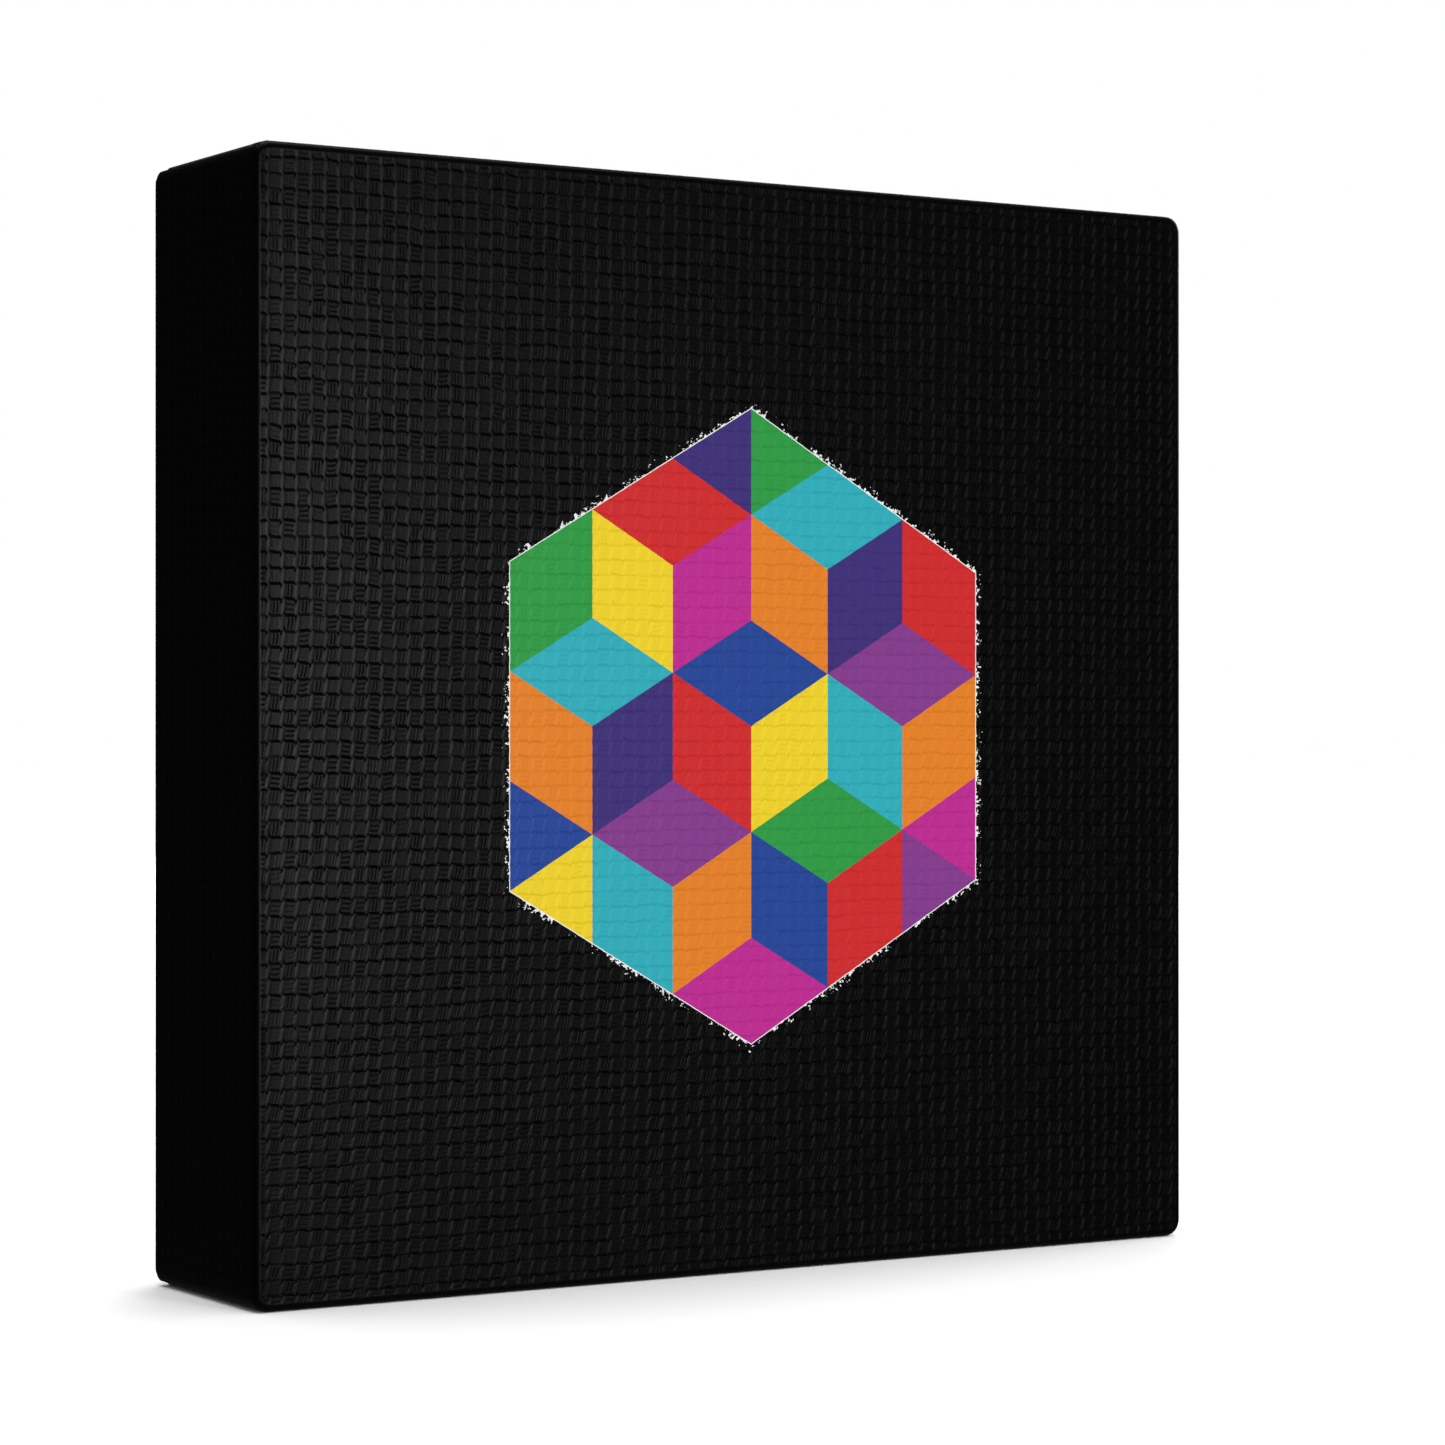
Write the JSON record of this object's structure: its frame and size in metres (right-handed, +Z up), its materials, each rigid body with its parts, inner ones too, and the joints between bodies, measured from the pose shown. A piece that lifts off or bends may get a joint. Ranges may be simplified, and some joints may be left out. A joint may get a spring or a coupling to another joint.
{
  "type": "stretched canvas",
  "caption": "Square cloth stretched over a keyed softwood frame, folded and stapled behind, with a sawtooth hanger and wall bumpers.",
  "frame": {"origin": "middle of the bottom of the overall box, on the surface that it stands on", "axes": "+Z up, -Y is the way that the painted face looks, +Y towards the wall"},
  "size_m": [0.1524, 0.0348, 0.1524],
  "materials": {
    "canvas": "black printed basket-weave canvas, matt, with a colour print in the middle of the front",
    "pine": "planed softwood, unfinished",
    "key_wood": "sawn hardwood, unfinished",
    "staple_steel": "galvanised wire",
    "hanger_steel": "zinc plated",
    "nail_steel": "bright steel",
    "rubber": "matt black"
  },
  "bodies": {
    "frame": {"canvas": "canvas", "bottom_bar": "pine", "left_bar": "pine", "top_bar": "pine", "right_bar": "pine", "staples_bottom": "staple_steel", "staples_left": "staple_steel", "staples_top": "staple_steel", "staples_right": "staple_steel", "sawtooth_hanger": "hanger_steel", "hanger_nails": "nail_steel", "bumper_left": "rubber", "bumper_right": "rubber"},
    "key_bottom_left_flat": {"key_bottom_left_flat": "key_wood"},
    "key_bottom_right_flat": {"key_bottom_right_flat": "key_wood"},
    "key_top_left_flat": {"key_top_left_flat": "key_wood"},
    "key_top_right_flat": {"key_top_right_flat": "key_wood"},
    "key_bottom_left_upright": {"key_bottom_left_upright": "key_wood"},
    "key_bottom_right_upright": {"key_bottom_right_upright": "key_wood"},
    "key_top_left_upright": {"key_top_left_upright": "key_wood"},
    "key_top_right_upright": {"key_top_right_upright": "key_wood"}
  },
  "joints": [
    {"name": "key_bottom_left_flat_slide", "type": "slide", "parent": "frame", "child": "key_bottom_left_flat", "axis": [1, 0, 0], "range_m": [0, 0.024]},
    {"name": "key_bottom_right_flat_slide", "type": "slide", "parent": "frame", "child": "key_bottom_right_flat", "axis": [-1, 0, 0], "range_m": [0, 0.024]},
    {"name": "key_top_left_flat_slide", "type": "slide", "parent": "frame", "child": "key_top_left_flat", "axis": [1, 0, 0], "range_m": [0, 0.024]},
    {"name": "key_top_right_flat_slide", "type": "slide", "parent": "frame", "child": "key_top_right_flat", "axis": [-1, 0, 0], "range_m": [0, 0.024]},
    {"name": "key_bottom_left_upright_slide", "type": "slide", "parent": "frame", "child": "key_bottom_left_upright", "axis": [0, 0, 1], "range_m": [0, 0.024]},
    {"name": "key_bottom_right_upright_slide", "type": "slide", "parent": "frame", "child": "key_bottom_right_upright", "axis": [0, 0, 1], "range_m": [0, 0.024]},
    {"name": "key_top_left_upright_slide", "type": "slide", "parent": "frame", "child": "key_top_left_upright", "axis": [0, 0, -1], "range_m": [0, 0.024]},
    {"name": "key_top_right_upright_slide", "type": "slide", "parent": "frame", "child": "key_top_right_upright", "axis": [0, 0, -1], "range_m": [0, 0.024]}
  ]
}
